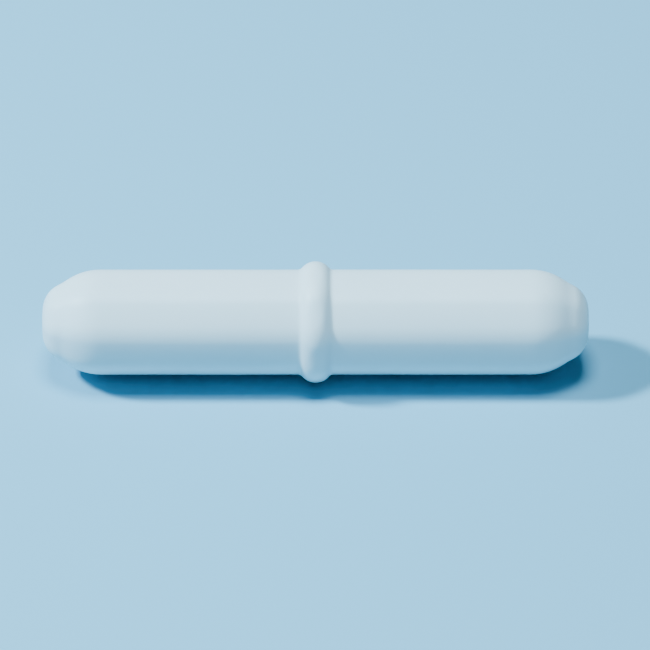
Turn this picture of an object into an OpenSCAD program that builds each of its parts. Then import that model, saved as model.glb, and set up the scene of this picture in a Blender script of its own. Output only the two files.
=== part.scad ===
// Magnetic stir bar: a soft-edged octagonal PTFE bar with a moulded pivot ring,
// closed around a rod magnet. X runs along the bar, Z is up, and the origin is on
// the bar's axis in the middle of the pivot ring.

/* [Bar] */
// Overall length, tip to tip
bar_length = 41.3; // [30:0.1:80]
// Width across two opposite facets
across_flats = 7.9; // [6:0.1:14]
// Radius of the slight crown across each facet
crown_radius = 9; // [8:0.5:30]
// Height that the soft edges between facets stand outside the facets' width
edge_rise = 0.1; // [0.05:0.01:0.3]

/* [Ends] */
// Distance from each tip at which the facets start to curve in
taper_length = 4.4; // [2:0.1:6]
// Radius of the curve that takes the facets in towards the tip
taper_radius = 4.6; // [3.5:0.1:8]
// Half width of the flat spot on each tip
tip_flat = 0.9; // [0.5:0.1:2]
// Radius of the rounded button around that flat spot
tip_radius = 2.1; // [1:0.1:2.8]

/* [Pivot ring] */
// Height of the ring above the facets
ring_height = 0.58; // [0.2:0.02:1.2]
// Radius of the ring's half-round crest
ring_radius = 1.5; // [1:0.1:3]
// Depth of the land over each facet, where the crest is straight for the bar to lie on
land_depth = 0.04; // [0.02:0.01:0.04]
// Radius of each land along the bar
land_radius = 2; // [1.8:0.1:3]
// Radius of the fillet at each foot of the ring
ring_fillet = 0.3; // [0.1:0.05:0.6]

/* [Magnet] */
// Thickness of the PTFE between the magnet and the facets
side_wall = 1.5; // [1:0.1:2.5]
// Thickness of the PTFE between the magnet and each tip
end_wall = 3.6; // [2.5:0.1:12]
// Chamfer at both ends of the rod magnet
magnet_chamfer = 0.4; // [0.1:0.05:1]
// Clearance all round the magnet inside the jacket
magnet_gap = 0.05; // [0.02:0.01:0.2]

/* [Hidden] */
$fn = 96;

facet_count = 8;
facet_angle = 360 / facet_count;
facet_apothem = across_flats / 2;
tip_x = bar_length / 2;
taper_x = tip_x - taper_length;
crown_offset = crown_radius - facet_apothem;

// Foot of the ring: where its fillets touch the crest and the facets
crest_height = ring_height + land_depth;
crest_drop = ring_radius - crest_height;
fillet_x = sqrt(pow(ring_radius + ring_fillet, 2) - pow(crest_drop + ring_fillet, 2));
foot_share = ring_radius / (ring_radius + ring_fillet);
foot_x = fillet_x * foot_share;
foot_rise = (crest_drop + ring_fillet) * foot_share - crest_drop;

// Half of the bar's lengthwise outline, from the middle to one tip. Its first
// axis is the height above the turning axis and its second runs along the bar;
// facet_level is the height of the facets.
module half_outline(facet_level) {
    square([facet_level, taper_x]);
    intersection() {
        translate([facet_level - taper_radius, taper_x])
            circle(r = taper_radius);
        square([facet_level, tip_x]);
    }
    intersection() {
        translate([facet_level - facet_apothem + tip_flat, tip_x - tip_radius])
            circle(r = tip_radius);
        square([facet_level, tip_x]);
    }
    square([facet_level - facet_apothem + tip_flat, tip_x]);
    ring_half(facet_level);
}

// One side of the ring's half-round crest with its fillet
module ring_half(facet_level) {
    intersection() {
        translate([facet_level - crest_drop, 0])
            circle(r = ring_radius);
        square([facet_level + crest_height, foot_x]);
    }
    difference() {
        square([facet_level + foot_rise, fillet_x]);
        translate([facet_level + ring_fillet, fillet_x])
            circle(r = ring_fillet);
    }
}

// A turned body whose outline stands the given distance further from its axis
module turned_bar(offset_from_axis) {
    facet_level = facet_apothem + offset_from_axis;
    rotate([0, 90, 0])
        rotate_extrude() {
            half_outline(facet_level);
            mirror([0, 1])
                half_outline(facet_level);
        }
}

// Straight bars across the ring, one for each pair of facets, that trim only the
// lands of its crest
module land_trim() {
    land_centre = facet_apothem + ring_height - land_radius;
    shoulder = facet_apothem + ring_height / 2;
    intersection_for (pair = [0 : facet_count / 2 - 1])
        rotate([pair * facet_angle + 90, 0, 0])
            linear_extrude(height = 2 * across_flats, center = true) {
                square([bar_length, 2 * shoulder], center = true);
                for (side = [-1, 1])
                    translate([0, side * land_centre])
                        circle(r = land_radius);
            }
}

// The outside of the bar: what eight large turned bodies, one under each facet,
// share with a turned body that rounds off the edges between the facets
module bar_outside() {
    intersection() {
        turned_bar(edge_rise);
        land_trim();
        intersection_for (facet = [0 : facet_count - 1])
            rotate([facet * facet_angle, 0, 0])
                translate([0, 0, -crown_offset])
                    turned_bar(crown_offset);
    }
}

// A rod with chamfered ends that keeps to the walls, less a clearance
module rod(clearance) {
    rod_radius = facet_apothem - side_wall - clearance;
    rod_end = tip_x - end_wall - clearance;
    rotate([0, 90, 0])
        rotate_extrude()
            polygon([
                [0, -rod_end],
                [rod_radius - magnet_chamfer, -rod_end],
                [rod_radius, magnet_chamfer - rod_end],
                [rod_radius, rod_end - magnet_chamfer],
                [rod_radius - magnet_chamfer, rod_end],
                [0, rod_end],
            ]);
}

module ptfe_jacket() {
    color("whitesmoke")
        difference() {
            bar_outside();
            rod(0);
        }
}

module magnet_core() {
    color("slategray")
        rod(magnet_gap);
}

ptfe_jacket();
magnet_core();
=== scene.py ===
import math

import bmesh
import bpy
from bpy.props import (
    FloatProperty,
    FloatVectorProperty,
    IntProperty,
    PointerProperty,
)
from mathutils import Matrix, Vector


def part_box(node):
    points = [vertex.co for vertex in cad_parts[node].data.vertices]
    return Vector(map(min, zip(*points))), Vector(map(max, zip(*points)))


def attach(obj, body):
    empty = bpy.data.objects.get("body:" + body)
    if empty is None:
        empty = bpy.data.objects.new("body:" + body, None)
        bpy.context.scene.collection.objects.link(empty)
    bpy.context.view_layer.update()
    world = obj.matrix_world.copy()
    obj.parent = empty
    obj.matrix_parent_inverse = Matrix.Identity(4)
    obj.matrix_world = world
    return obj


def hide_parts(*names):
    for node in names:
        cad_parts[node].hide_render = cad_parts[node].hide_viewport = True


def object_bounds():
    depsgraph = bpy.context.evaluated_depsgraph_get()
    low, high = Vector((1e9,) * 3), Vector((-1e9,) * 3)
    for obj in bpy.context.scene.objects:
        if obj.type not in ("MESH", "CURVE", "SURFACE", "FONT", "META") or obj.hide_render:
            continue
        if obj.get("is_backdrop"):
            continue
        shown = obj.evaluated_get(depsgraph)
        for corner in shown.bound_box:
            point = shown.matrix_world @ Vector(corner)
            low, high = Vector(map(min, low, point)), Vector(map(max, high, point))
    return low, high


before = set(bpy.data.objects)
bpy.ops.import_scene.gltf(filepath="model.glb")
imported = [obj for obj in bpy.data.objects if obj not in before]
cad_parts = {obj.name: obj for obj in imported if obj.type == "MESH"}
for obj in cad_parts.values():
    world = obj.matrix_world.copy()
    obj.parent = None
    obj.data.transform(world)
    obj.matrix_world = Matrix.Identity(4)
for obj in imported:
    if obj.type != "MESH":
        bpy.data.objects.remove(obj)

bl_info = {
    "name": "Magnetic stir bar",
    "version": (1, 0, 0),
    "blender": (4, 5, 0),
    "location": "3D View > Sidebar > Stir bar",
    "description": "Builds an octagonal PTFE stir bar with a pivot ring round its CAD frame",
    "category": "Add Mesh",
}

MM = 0.001
FACETS = 8
# Steps between the outline's points: on the flat tips, along the bar and round the ring's feet
TIP_STEP = 0.2 * MM
BAR_STEP = 0.25 * MM
FILLET_STEP = 0.2
# Points nearer than this are welded where the wrapped sheet meets itself
WELD_DISTANCE = 0.001 * MM
# What the camera shows, from near to far
NEAR_CLIP = 10 * MM
FAR_CLIP = 10.0
JACKET_LOW, JACKET_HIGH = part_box("ptfe_jacket")


def hex_colour(code):
    """Linear red, green, blue and alpha of an sRGB colour such as #F4F6F6."""
    channels = [int(code[place : place + 2], 16) / 255 for place in (1, 3, 5)]
    linear = [c / 12.92 if c <= 0.04045 else ((c + 0.055) / 1.055) ** 2.4 for c in channels]
    return (*linear, 1.0)


def add_node(tree, kind, inputs=(), **settings):
    """Add a node with its settings; inputs maps sockets to values or to what feeds them."""
    node = tree.nodes.new(kind)
    for name, value in settings.items():
        setattr(node, name, value)
    for key, value in dict(inputs).items():
        if isinstance(value, bpy.types.NodeSocket):
            tree.links.new(value, node.inputs[key])
        else:
            node.inputs[key].default_value = value
    return node


# ---------------------------------------------------------------- sizes and colours


def size_property(name, description, millimetres, smallest=0.0):
    """A length that shows in the sidebar in the scene's units."""
    return FloatProperty(
        name=name,
        description=description,
        default=millimetres * MM,
        min=smallest * MM,
        precision=5,
        subtype="DISTANCE",
        unit="LENGTH",
    )


def colour_property(name, description, code):
    """A colour that shows as a swatch in the sidebar."""
    return FloatVectorProperty(
        name=name,
        description=description,
        default=hex_colour(code),
        min=0.0,
        max=1.0,
        size=4,
        subtype="COLOR",
    )


class StirBarJacket(bpy.types.PropertyGroup):
    """Sizes and colours of the PTFE jacket"""

    length: FloatProperty(
        name="Length",
        description="Overall length, tip to tip",
        default=JACKET_HIGH[0] - JACKET_LOW[0],
        min=20 * MM,
        precision=5,
        subtype="DISTANCE",
        unit="LENGTH",
    )
    across_flats: size_property("Across flats", "Width across two opposite facets", 7.9, 4)
    ring_height: size_property("Ring height", "Height of the pivot ring above the facets", 0.58)
    ring_radius: size_property("Ring crest", "Radius of the pivot ring's half-round crest", 1.35)
    ring_fillet: size_property("Ring fillet", "Radius at each foot of the pivot ring", 0.45)
    land_depth: size_property(
        "Land depth", "How deep the ring's crest is trimmed straight across each facet", 0.04
    )
    land_radius: size_property("Land radius", "Radius of those straight lands along the bar", 2)
    taper_length: size_property("Taper length", "Where the facets start to curve in, from the tip", 4.4)
    taper_radius: size_property("Taper radius", "Radius of the facets' curve towards the tip", 4.6)
    tip_flat: size_property("Tip flat", "Half width of the flat spot on each tip", 0.9)
    tip_radius: size_property("Tip radius", "Radius of the rounding round the flat spot", 2.1)
    tip_blend: size_property("Tip blend", "Radius of the hollow between that rounding and the taper", 4)
    crown_offset: size_property(
        "Crown offset", "How far behind the bar's axis each crowned facet has its centre", 5.05
    )
    edge_share: FloatProperty(
        name="Edge share",
        description="Radius of the soft edges between facets, as a share of the half width",
        default=0.62,
        min=0.05,
        max=0.9,
        subtype="FACTOR",
    )
    ripple_depth: size_property("Ripple depth", "Depth of the skin's gentle unevenness", 0.03)
    ripple_width: size_property("Ripple width", "Width of one swell of that unevenness", 5)
    seed: IntProperty(
        name="Seed",
        description="Picks another unevenness of the same depth",
        default=7,
        min=0,
    )
    columns: IntProperty(
        name="Columns",
        description="Faces round the bar, a multiple of the number of facets",
        default=256,
        min=64,
        max=512,
    )
    white: colour_property("White", "Colour of the dense parts of the jacket", "#EDF4F6")
    cloud: colour_property("Cloud", "Colour of the jacket's faint cloudy patches", "#E2ECF0")


class StirBarMagnet(bpy.types.PropertyGroup):
    """Colours of the rod magnet"""

    bright: colour_property("Bright", "Colour of the ground metal", "#9A9A98")
    dull: colour_property("Dull", "Colour of the metal between the grinding lines", "#6C6C6C")


class StirBarStage(bpy.types.PropertyGroup):
    """The floor, the lights and the camera"""

    floor_reach: size_property("Floor reach", "How far the floor runs each way from the bar", 3000)
    floor: colour_property("Floor", "Colour of the floor", "#7FBCD6")
    elevation: FloatProperty(
        name="Elevation",
        description="Height of the camera above the horizon",
        default=math.radians(38),
        subtype="ANGLE",
        unit="ROTATION",
    )
    distance: size_property("Distance", "From the camera to the bar", 350)
    view_width: size_property("View width", "Width of the view at the bar", 49.2)
    aim_right: size_property("Aim right", "How far right of the bar's middle the camera aims", 0.71)
    aim_low: size_property("Aim low", "How far below the bar's middle the camera aims", 0.22)
    lamp_distance: size_property("Lamp distance", "From both lamps to the bar", 500)
    lamp_colour: colour_property("Lamp colour", "Colour of both lamps", "#BFEAFF")
    key_elevation: FloatProperty(
        name="Key elevation",
        description="Height of the key light above the horizon, at the bar's left",
        default=math.radians(47),
        subtype="ANGLE",
        unit="ROTATION",
    )
    key_size: size_property("Key size", "Width of the key lamp", 60)
    key_power: FloatProperty(
        name="Key power", description="Power of the key light", default=6.2, min=0.0, unit="POWER"
    )
    top_lean: FloatProperty(
        name="Top lean",
        description="How far the light overhead leans towards the camera",
        default=math.radians(5),
        subtype="ANGLE",
        unit="ROTATION",
    )
    top_size: size_property("Top size", "Width of the lamp overhead", 160)
    top_power: FloatProperty(
        name="Top power", description="Power of the light overhead", default=3.2, min=0.0, unit="POWER"
    )
    sky_colour: colour_property("Sky colour", "Colour of the even light all round", "#C4E4F5")
    sky: FloatProperty(
        name="Sky", description="Strength of the even light all round", default=0.05, min=0.0
    )


# ---------------------------------------------------------------- materials


def new_material(name, colour):
    """A material with its node tree, its shader and the socket of its place on the object."""
    material = bpy.data.materials.new(name)
    material.diffuse_color = colour
    material.use_nodes = True
    tree = material.node_tree
    tree.nodes.clear()
    shader = add_node(tree, "ShaderNodeBsdfPrincipled")
    add_node(tree, "ShaderNodeOutputMaterial", {"Surface": shader.outputs[0]})
    place = add_node(tree, "ShaderNodeTexCoord").outputs["Object"]
    return material, tree, shader, place


def moulded_ptfe(jacket):
    """PTFE, pressed from powder and sintered.

    Gives the eye a clean, slightly cool white with a waxy satin skin: light sinks in
    and softens the edges of the shadows, the low index keeps highlights dull, and the
    sintered powder leaves faint clouds and a very fine grain.
    """
    material, tree, shader, place = new_material("moulded_ptfe", jacket.white)
    # Clouds about 4 mm across, stretched along the bar as the powder flowed
    flow = add_node(tree, "ShaderNodeMapping", {"Vector": place, "Scale": (0.5, 1.0, 1.0)})
    clouds = add_node(
        tree,
        "ShaderNodeTexNoise",
        {"Vector": flow.outputs[0], "Scale": 1 / (4 * MM), "Detail": 3.0, "Roughness": 0.55},
    )
    colour = add_node(
        tree,
        "ShaderNodeMix",
        {"Factor": clouds.outputs[0], "A": jacket.white, "B": jacket.cloud},
        data_type="RGBA",
    )
    # Powder grain: real grains are near 0.03 mm, drawn at 0.16 mm so that they show
    grain = add_node(
        tree,
        "ShaderNodeTexNoise",
        {"Vector": place, "Scale": 1 / (0.16 * MM), "Detail": 2.0, "Roughness": 0.6},
    )
    satin = add_node(
        tree,
        "ShaderNodeMapRange",
        {"Value": grain.outputs[0], "To Min": 0.36, "To Max": 0.5},
    )
    skin = add_node(
        tree,
        "ShaderNodeBump",
        {"Height": grain.outputs[0], "Strength": 0.25, "Distance": 0.008 * MM},
    )
    tree.links.new(colour.outputs["Result"], shader.inputs["Base Color"])
    tree.links.new(satin.outputs[0], shader.inputs["Roughness"])
    tree.links.new(skin.outputs[0], shader.inputs["Normal"])
    shader.inputs["IOR"].default_value = 1.36
    shader.inputs["Subsurface Weight"].default_value = 0.6
    shader.inputs["Subsurface Radius"].default_value = (1.0, 1.0, 1.0)
    shader.inputs["Subsurface Scale"].default_value = 0.35 * MM
    return material


def ground_alnico(magnet):
    """Alnico, cast as a rod and ground to size.

    Gives the eye a dull mid-grey metal with fine rings left by the grinding wheel.
    """
    material, tree, shader, place = new_material("ground_alnico", magnet.bright)
    # Grinding marks ring the rod, so the noise is stretched across it: a mark every 0.2 mm or so
    rings = add_node(tree, "ShaderNodeMapping", {"Vector": place, "Scale": (1.0, 0.02, 0.02)})
    marks = add_node(
        tree,
        "ShaderNodeTexNoise",
        {"Vector": rings.outputs[0], "Scale": 1 / (0.2 * MM), "Detail": 4.0},
    )
    colour = add_node(
        tree,
        "ShaderNodeMix",
        {"Factor": marks.outputs[0], "A": magnet.dull, "B": magnet.bright},
        data_type="RGBA",
    )
    polish = add_node(
        tree,
        "ShaderNodeMapRange",
        {"Value": marks.outputs[0], "To Min": 0.45, "To Max": 0.28},
    )
    scratches = add_node(
        tree,
        "ShaderNodeBump",
        {"Height": marks.outputs[0], "Strength": 0.4, "Distance": 0.01 * MM},
    )
    tree.links.new(colour.outputs["Result"], shader.inputs["Base Color"])
    tree.links.new(polish.outputs[0], shader.inputs["Roughness"])
    tree.links.new(scratches.outputs[0], shader.inputs["Normal"])
    shader.inputs["Metallic"].default_value = 1.0
    return material


def matt_card(stage):
    """Plain card: pale, matt and even, so that only the shadows show on it."""
    material, _tree, shader, _place = new_material("matt_card", stage.floor)
    shader.inputs["Base Color"].default_value = stage.floor
    shader.inputs["Roughness"].default_value = 0.85
    shader.inputs["Specular IOR Level"].default_value = 0.2
    return material


# ---------------------------------------------------------------- the jacket's shape


def arc(centre, radius, start, end, step=math.radians(5)):
    """Points on an arc in the outline's plane, both ends included."""
    count = max(2, math.ceil(abs(end - start) / step))
    angles = [start + (end - start) * part / count for part in range(count + 1)]
    return [(centre[0] + radius * math.cos(a), centre[1] + radius * math.sin(a)) for a in angles]


def straight(start, end, step):
    """Points along a straight stretch, without its last one."""
    count = max(1, math.ceil(math.dist(start, end) / step))
    return [
        (start[0] + (end[0] - start[0]) * part / count, start[1] + (end[1] - start[1]) * part / count)
        for part in range(count)
    ]


def half_outline(jacket):
    """Distance along the bar and height of the facets, from the right tip to the ring's crest."""
    level = jacket.across_flats / 2
    tip = jacket.length / 2
    button = (tip - jacket.tip_radius, jacket.tip_flat)
    taper = (tip - jacket.taper_length, level - jacket.taper_radius)
    # The hollow blend between the tip's rounding and the taper touches both circles
    apart = math.dist(button, taper)
    from_button = jacket.tip_radius + jacket.tip_blend
    from_taper = jacket.taper_radius + jacket.tip_blend
    along = (apart**2 + from_button**2 - from_taper**2) / (2 * apart)
    bearing = math.atan2(taper[1] - button[1], taper[0] - button[0])
    leave = (bearing - math.acos(along / from_button)) % math.tau
    blend = (button[0] + from_button * math.cos(leave), button[1] + from_button * math.sin(leave))
    join = math.atan2(blend[1] - taper[1], blend[0] - taper[0])
    # The ring's crest, still untrimmed, and the fillet at its foot
    drop = jacket.ring_radius - jacket.ring_height - jacket.land_depth
    reach = jacket.ring_radius + jacket.ring_fillet
    foot = math.sqrt(reach**2 - (drop + jacket.ring_fillet) ** 2)
    slope = math.asin((drop + jacket.ring_fillet) / reach)
    fillet = (foot, level + jacket.ring_fillet)
    right = math.pi / 2
    return [
        *straight((tip, 0.0), (tip, jacket.tip_flat), TIP_STEP),
        *arc(button, jacket.tip_radius, 0.0, leave)[:-1],
        *arc(blend, jacket.tip_blend, leave + math.pi, join + math.pi)[:-1],
        *arc(taper, jacket.taper_radius, join, right)[:-1],
        *straight((taper[0], level), (foot, level), BAR_STEP),
        *arc(fillet, jacket.ring_fillet, -right, -math.pi + slope, FILLET_STEP)[:-1],
        *arc((0.0, level - drop), jacket.ring_radius, slope, right),
    ]


def land_height(jacket, x):
    """How far out the straight lands let the ring's crest stand, at a place along the bar."""
    level = jacket.across_flats / 2
    inside = max(0.0, jacket.land_radius**2 - x**2)
    land = level + jacket.ring_height - jacket.land_radius + math.sqrt(inside)
    return max(land, level + jacket.ring_height / 2)


def outline_curve(jacket):
    """The whole lengthwise outline as a curve.

    X runs along the bar, Y is the facets' height and Z the height of the lands.
    """
    half = half_outline(jacket)
    points = [(-x, height) for x, height in half[:-1]] + half[::-1]
    curve = bpy.data.curves.new("jacket_outline", "CURVE")
    curve.dimensions = "3D"
    spline = curve.splines.new("POLY")
    spline.points.add(len(points) - 1)
    for point, (x, height) in zip(spline.points, points):
        point.co = (x, height, land_height(jacket, x), 1.0)
    outline = bpy.data.objects.new("jacket_outline", curve)
    bpy.context.scene.collection.objects.link(outline)
    return outline


# What the tree works out for each point, in order: a name, an operation and its operands.
# turn is the direction that the skin faces, as a share of a whole turn round the bar;
# height is the facets' height there. Each facet is an arc about a centre behind the
# axis, and the edges are smaller arcs that run on from it.
SECTION = (
    ("facet_turns", "MULTIPLY", "turn", FACETS),
    ("facet_number", "ROUND", "facet_turns"),
    ("facet_angle", "MULTIPLY", "facet_number", math.tau / FACETS),
    ("from_middle", "SUBTRACT", "facet_turns", "facet_number"),
    ("lean", "MULTIPLY", "from_middle", math.tau / FACETS),
    ("edge_radius", "MULTIPLY", "height", "Edge Share"),
    ("crown_radius", "ADD", "height", "Crown Offset"),
    ("swing", "SUBTRACT", "crown_radius", "edge_radius"),
    ("corner_reach", "MULTIPLY", "Crown Offset", math.sin(math.pi / FACETS)),
    ("corner_sine", "DIVIDE", "corner_reach", "swing"),
    ("corner_angle", "ARCSINE", "corner_sine"),
    ("facet_half", "SUBTRACT", math.pi / FACETS, "corner_angle"),
    ("facet_low", "MULTIPLY", "facet_half", -1.0),
    ("lean_capped", "MINIMUM", "lean", "facet_half"),
    ("facet_lean", "MAXIMUM", "lean_capped", "facet_low"),
    ("facet_cosine", "COSINE", "facet_lean"),
    ("facet_sine", "SINE", "facet_lean"),
    ("edge_cosine", "COSINE", "lean"),
    ("edge_sine", "SINE", "lean"),
    ("edge_out", "MULTIPLY_ADD", "edge_cosine", "edge_radius", "crown_back"),
    ("crowned", "MULTIPLY_ADD", "facet_cosine", "swing", "edge_out"),
    ("out", "MINIMUM", "crowned", "land"),
    ("edge_side", "MULTIPLY", "edge_sine", "edge_radius"),
    ("side", "MULTIPLY_ADD", "facet_sine", "swing", "edge_side"),
)


def jacket_tree(material):
    """Geometry nodes that wrap the outline round the bar as a soft octagon."""
    tree = bpy.data.node_groups.new("soft_octagon_bar", "GeometryNodeTree")
    sockets = {"Geometry": "NodeSocketGeometry", "Outline": "NodeSocketObject"}
    sockets.update({"Rows": "NodeSocketInt", "Columns": "NodeSocketInt"})
    for name in ("Crown Offset", "Edge Share", "Ripple Depth", "Ripple Width", "Seed"):
        sockets[name] = "NodeSocketFloat"
    for name, kind in sockets.items():
        tree.interface.new_socket(name, in_out="INPUT", socket_type=kind)
    tree.interface.new_socket("Geometry", in_out="OUTPUT", socket_type="NodeSocketGeometry")
    given = add_node(tree, "NodeGroupInput").outputs

    # A sheet with a row for each point of the outline, one step wide each way
    lengths = add_node(tree, "ShaderNodeMath", {0: given["Rows"], 1: 1.0}, operation="SUBTRACT")
    stitches = add_node(tree, "ShaderNodeMath", {0: given["Columns"], 1: 1.0}, operation="ADD")
    sheet = add_node(
        tree,
        "GeometryNodeMeshGrid",
        {
            "Size X": lengths.outputs[0],
            "Size Y": 1.0,
            "Vertices X": given["Rows"],
            "Vertices Y": stitches.outputs[0],
        },
    )
    position = add_node(tree, "GeometryNodeInputPosition").outputs[0]
    place = add_node(tree, "ShaderNodeSeparateXYZ", {0: position})
    row = add_node(
        tree,
        "ShaderNodeMath",
        {0: lengths.outputs[0], 1: 0.5, 2: place.outputs[0]},
        operation="MULTIPLY_ADD",
    )
    outline = add_node(tree, "GeometryNodeObjectInfo", {"Object": given["Outline"]})
    sampled = add_node(
        tree,
        "GeometryNodeSampleIndex",
        {
            "Geometry": outline.outputs["Geometry"],
            "Value": position,
            "Index": add_node(tree, "FunctionNodeFloatToInt", {0: row.outputs[0]}).outputs[0],
        },
        data_type="FLOAT_VECTOR",
        domain="POINT",
    )
    on_outline = add_node(tree, "ShaderNodeSeparateXYZ", {0: sampled.outputs[0]})
    crown_back = add_node(
        tree, "ShaderNodeMath", {0: given["Crown Offset"], 1: -1.0}, operation="MULTIPLY"
    )
    known = {name: given[name] for name in ("Crown Offset", "Edge Share")}
    known["turn"] = place.outputs[1]
    known["height"] = on_outline.outputs[1]
    known["land"] = on_outline.outputs[2]
    known["crown_back"] = crown_back.outputs[0]
    for name, operation, *operands in SECTION:
        feeds = {number: known.get(operand, operand) for number, operand in enumerate(operands)}
        node = add_node(tree, "ShaderNodeMath", feeds, operation=operation, label=name)
        known[name] = node.outputs[0]
    spoke = add_node(
        tree, "ShaderNodeCombineXYZ", {0: on_outline.outputs[0], 1: known["side"], 2: known["out"]}
    )
    turned = add_node(
        tree,
        "ShaderNodeVectorRotate",
        {"Vector": spoke.outputs[0], "Axis": (-1.0, 0.0, 0.0), "Angle": known["facet_angle"]},
    )
    wrapped = add_node(
        tree, "GeometryNodeSetPosition", {"Geometry": sheet.outputs[0], "Position": turned.outputs[0]}
    )
    closed = add_node(
        tree, "GeometryNodeMergeByDistance", {"Geometry": wrapped.outputs[0], "Distance": WELD_DISTANCE}
    )

    # Gentle swells of the moulded skin, always inwards
    waves = add_node(
        tree, "ShaderNodeMath", {0: 1.0, 1: given["Ripple Width"]}, operation="DIVIDE"
    )
    swell = add_node(
        tree,
        "ShaderNodeTexNoise",
        {"W": given["Seed"], "Scale": waves.outputs[0], "Detail": 2.0, "Roughness": 0.5},
        noise_dimensions="4D",
    )
    sink = add_node(
        tree, "ShaderNodeMath", {0: swell.outputs[0], 1: given["Ripple Depth"]}, operation="MULTIPLY"
    )
    inwards = add_node(
        tree, "ShaderNodeMath", {0: sink.outputs[0], 1: -1.0}, operation="MULTIPLY"
    )
    offset = add_node(
        tree,
        "ShaderNodeVectorMath",
        {0: add_node(tree, "GeometryNodeInputNormal").outputs[0], "Scale": inwards.outputs[0]},
        operation="SCALE",
    )
    uneven = add_node(
        tree, "GeometryNodeSetPosition", {"Geometry": closed.outputs[0], "Offset": offset.outputs[0]}
    )
    smooth = add_node(tree, "GeometryNodeSetShadeSmooth", {"Geometry": uneven.outputs[0]})
    real = add_node(tree, "GeometryNodeRealizeInstances", {"Geometry": smooth.outputs[0]})
    finished = add_node(
        tree, "GeometryNodeSetMaterial", {"Geometry": real.outputs[0], "Material": material}
    )
    add_node(tree, "NodeGroupOutput", {0: finished.outputs[0]})
    return tree


def grow(name, tree, values):
    """Run a tree on a new object and keep the plain mesh that it makes."""
    piece = bpy.data.objects.new(name, bpy.data.meshes.new(name))
    bpy.context.scene.collection.objects.link(piece)
    modifier = piece.modifiers.new(name, "NODES")
    modifier.node_group = tree
    for socket in tree.interface.items_tree:
        if socket.name in values and socket.in_out == "INPUT":
            modifier[socket.identifier] = values[socket.name]
    bpy.context.view_layer.update()
    evaluated = piece.evaluated_get(bpy.context.evaluated_depsgraph_get())
    mesh = bpy.data.meshes.new_from_object(evaluated)
    piece.modifiers.remove(modifier)
    piece.data = mesh
    mesh.name = name
    return piece


def check_closed(piece):
    """Stop the build if the piece isn't a closed shape whose faces point outwards."""
    shape = bmesh.new()
    shape.from_mesh(piece.data)
    open_edges = sum(not edge.is_manifold for edge in shape.edges)
    volume = shape.calc_volume(signed=True)
    shape.free()
    if open_edges or volume <= 0:
        raise RuntimeError(f"{piece.name} has {open_edges} open edges and a volume of {volume}")


# ---------------------------------------------------------------- operators


class STIRBAR_OT_jacket(bpy.types.Operator):
    """Build the PTFE jacket with its pivot ring"""

    bl_idname = "stirbar.jacket"
    bl_label = "PTFE jacket"

    def execute(self, context):
        jacket = context.scene.stir_bar_jacket
        outline = outline_curve(jacket)
        tree = jacket_tree(moulded_ptfe(jacket))
        values = {
            "Outline": outline,
            "Rows": len(outline.data.splines[0].points),
            "Columns": jacket.columns,
            "Crown Offset": jacket.crown_offset,
            "Edge Share": jacket.edge_share,
            "Ripple Depth": jacket.ripple_depth,
            "Ripple Width": jacket.ripple_width,
            "Seed": float(jacket.seed),
        }
        piece = grow("jacket", tree, values)
        bpy.data.objects.remove(outline)
        check_closed(piece)
        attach(piece, "root")
        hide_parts("ptfe_jacket")
        return {"FINISHED"}


class STIRBAR_OT_magnet(bpy.types.Operator):
    """Give the rod magnet inside the jacket its ground metal finish"""

    bl_idname = "stirbar.magnet"
    bl_label = "Rod magnet"

    def execute(self, context):
        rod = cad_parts["magnet_core"]
        rod.data.materials.clear()
        rod.data.materials.append(ground_alnico(context.scene.stir_bar_magnet))
        return {"FINISHED"}


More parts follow.
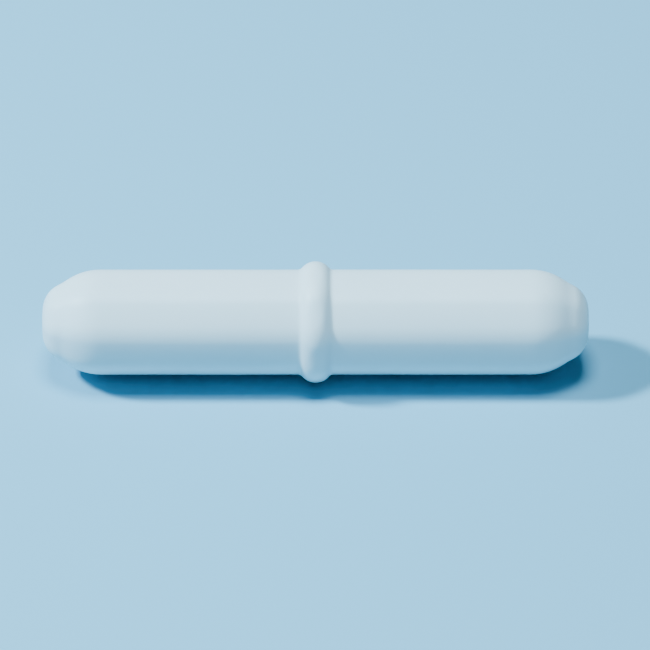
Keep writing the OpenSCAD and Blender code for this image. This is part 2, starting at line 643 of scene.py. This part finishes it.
class STIRBAR_OT_stage(bpy.types.Operator):
    """Set the floor, the lights and the camera"""

    bl_idname = "stirbar.stage"
    bl_label = "Stage"

    def execute(self, context):
        stage = context.scene.stir_bar_stage
        low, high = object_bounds()
        middle = (low + high) / 2
        self.lay_floor(context.scene, stage, low.z)
        left = Vector((-math.cos(stage.key_elevation), 0.0, math.sin(stage.key_elevation)))
        overhead = Vector((0.0, -math.sin(stage.top_lean), math.cos(stage.top_lean)))
        for name, direction, size, power in (
            ("key_light", left, stage.key_size, stage.key_power),
            ("top_light", overhead, stage.top_size, stage.top_power),
        ):
            lamp = bpy.data.lights.new(name, "AREA")
            lamp.size = size
            lamp.energy = power
            lamp.color = stage.lamp_colour[:3]
            place = middle + direction * stage.lamp_distance
            self.hang_lamp(context.scene, lamp, direction, place)
        self.fill_sky(context.scene, stage)
        self.place_camera(context.scene, stage, middle)
        return {"FINISHED"}

    def lay_floor(self, scene, stage, height):
        """A wide flat floor just under the object."""
        reach = stage.floor_reach
        corners = [(-reach, -reach), (reach, -reach), (reach, reach), (-reach, reach)]
        mesh = bpy.data.meshes.new("floor")
        mesh.from_pydata([(x, y, height) for x, y in corners], [], [(0, 1, 2, 3)])
        mesh.materials.append(matt_card(stage))
        floor = bpy.data.objects.new("floor", mesh)
        scene.collection.objects.link(floor)
        floor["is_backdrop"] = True

    def hang_lamp(self, scene, lamp, direction, place):
        """Hang a square lamp so that it faces back along its direction from the bar."""
        light = bpy.data.objects.new(lamp.name, lamp)
        light.location = place
        light.rotation_mode = "QUATERNION"
        light.rotation_quaternion = direction.to_track_quat("Z", "Y")
        scene.collection.objects.link(light)

    def fill_sky(self, scene, stage):
        """Even pale light from all round."""
        scene.world = bpy.data.worlds.new("soft_sky")
        scene.world.use_nodes = True
        background = scene.world.node_tree.nodes["Background"]
        background.inputs["Color"].default_value = stage.sky_colour
        background.inputs["Strength"].default_value = stage.sky

    def place_camera(self, scene, stage, middle):
        """Broadside to the bar, looking down on it."""
        back = Vector((0.0, -math.cos(stage.elevation), math.sin(stage.elevation)))
        up = Vector((0.0, math.sin(stage.elevation), math.cos(stage.elevation)))
        lens = bpy.data.cameras.new("camera")
        lens.lens = lens.sensor_width * stage.distance / stage.view_width
        lens.clip_start = NEAR_CLIP
        lens.clip_end = FAR_CLIP
        camera = bpy.data.objects.new("camera", lens)
        aim = middle + Vector((stage.aim_right, 0.0, 0.0)) - up * stage.aim_low
        camera.location = aim + back * stage.distance
        camera.rotation_mode = "QUATERNION"
        camera.rotation_quaternion = back.to_track_quat("Z", "Y")
        scene.collection.objects.link(camera)
        scene.camera = camera


class STIRBAR_PT_panel(bpy.types.Panel):
    """The stir bar's sizes, colours and steps"""

    bl_idname = "STIRBAR_PT_panel"
    bl_label = "Stir bar"
    bl_space_type = "VIEW_3D"
    bl_region_type = "UI"
    bl_category = "Stir bar"

    def draw(self, context):
        for name, operator in STEPS.items():
            box = self.layout.box()
            group = getattr(context.scene, name)
            for setting in group.__annotations__:
                box.prop(group, setting)
            box.operator(operator.bl_idname)


STEPS = {
    "stir_bar_jacket": STIRBAR_OT_jacket,
    "stir_bar_magnet": STIRBAR_OT_magnet,
    "stir_bar_stage": STIRBAR_OT_stage,
}
GROUPS = {
    "stir_bar_jacket": StirBarJacket,
    "stir_bar_magnet": StirBarMagnet,
    "stir_bar_stage": StirBarStage,
}


def register():
    for group in GROUPS.values():
        bpy.utils.register_class(group)
    for operator in STEPS.values():
        bpy.utils.register_class(operator)
    bpy.utils.register_class(STIRBAR_PT_panel)
    for name, group in GROUPS.items():
        setattr(bpy.types.Scene, name, PointerProperty(type=group))


def unregister():
    for name in GROUPS:
        delattr(bpy.types.Scene, name)
    bpy.utils.unregister_class(STIRBAR_PT_panel)
    for operator in reversed(STEPS.values()):
        bpy.utils.unregister_class(operator)
    for group in reversed(GROUPS.values()):
        bpy.utils.unregister_class(group)


def main():
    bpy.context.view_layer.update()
    register()
    bpy.ops.stirbar.jacket()
    bpy.ops.stirbar.magnet()
    bpy.ops.stirbar.stage()


if __name__ == "__main__":
    main()
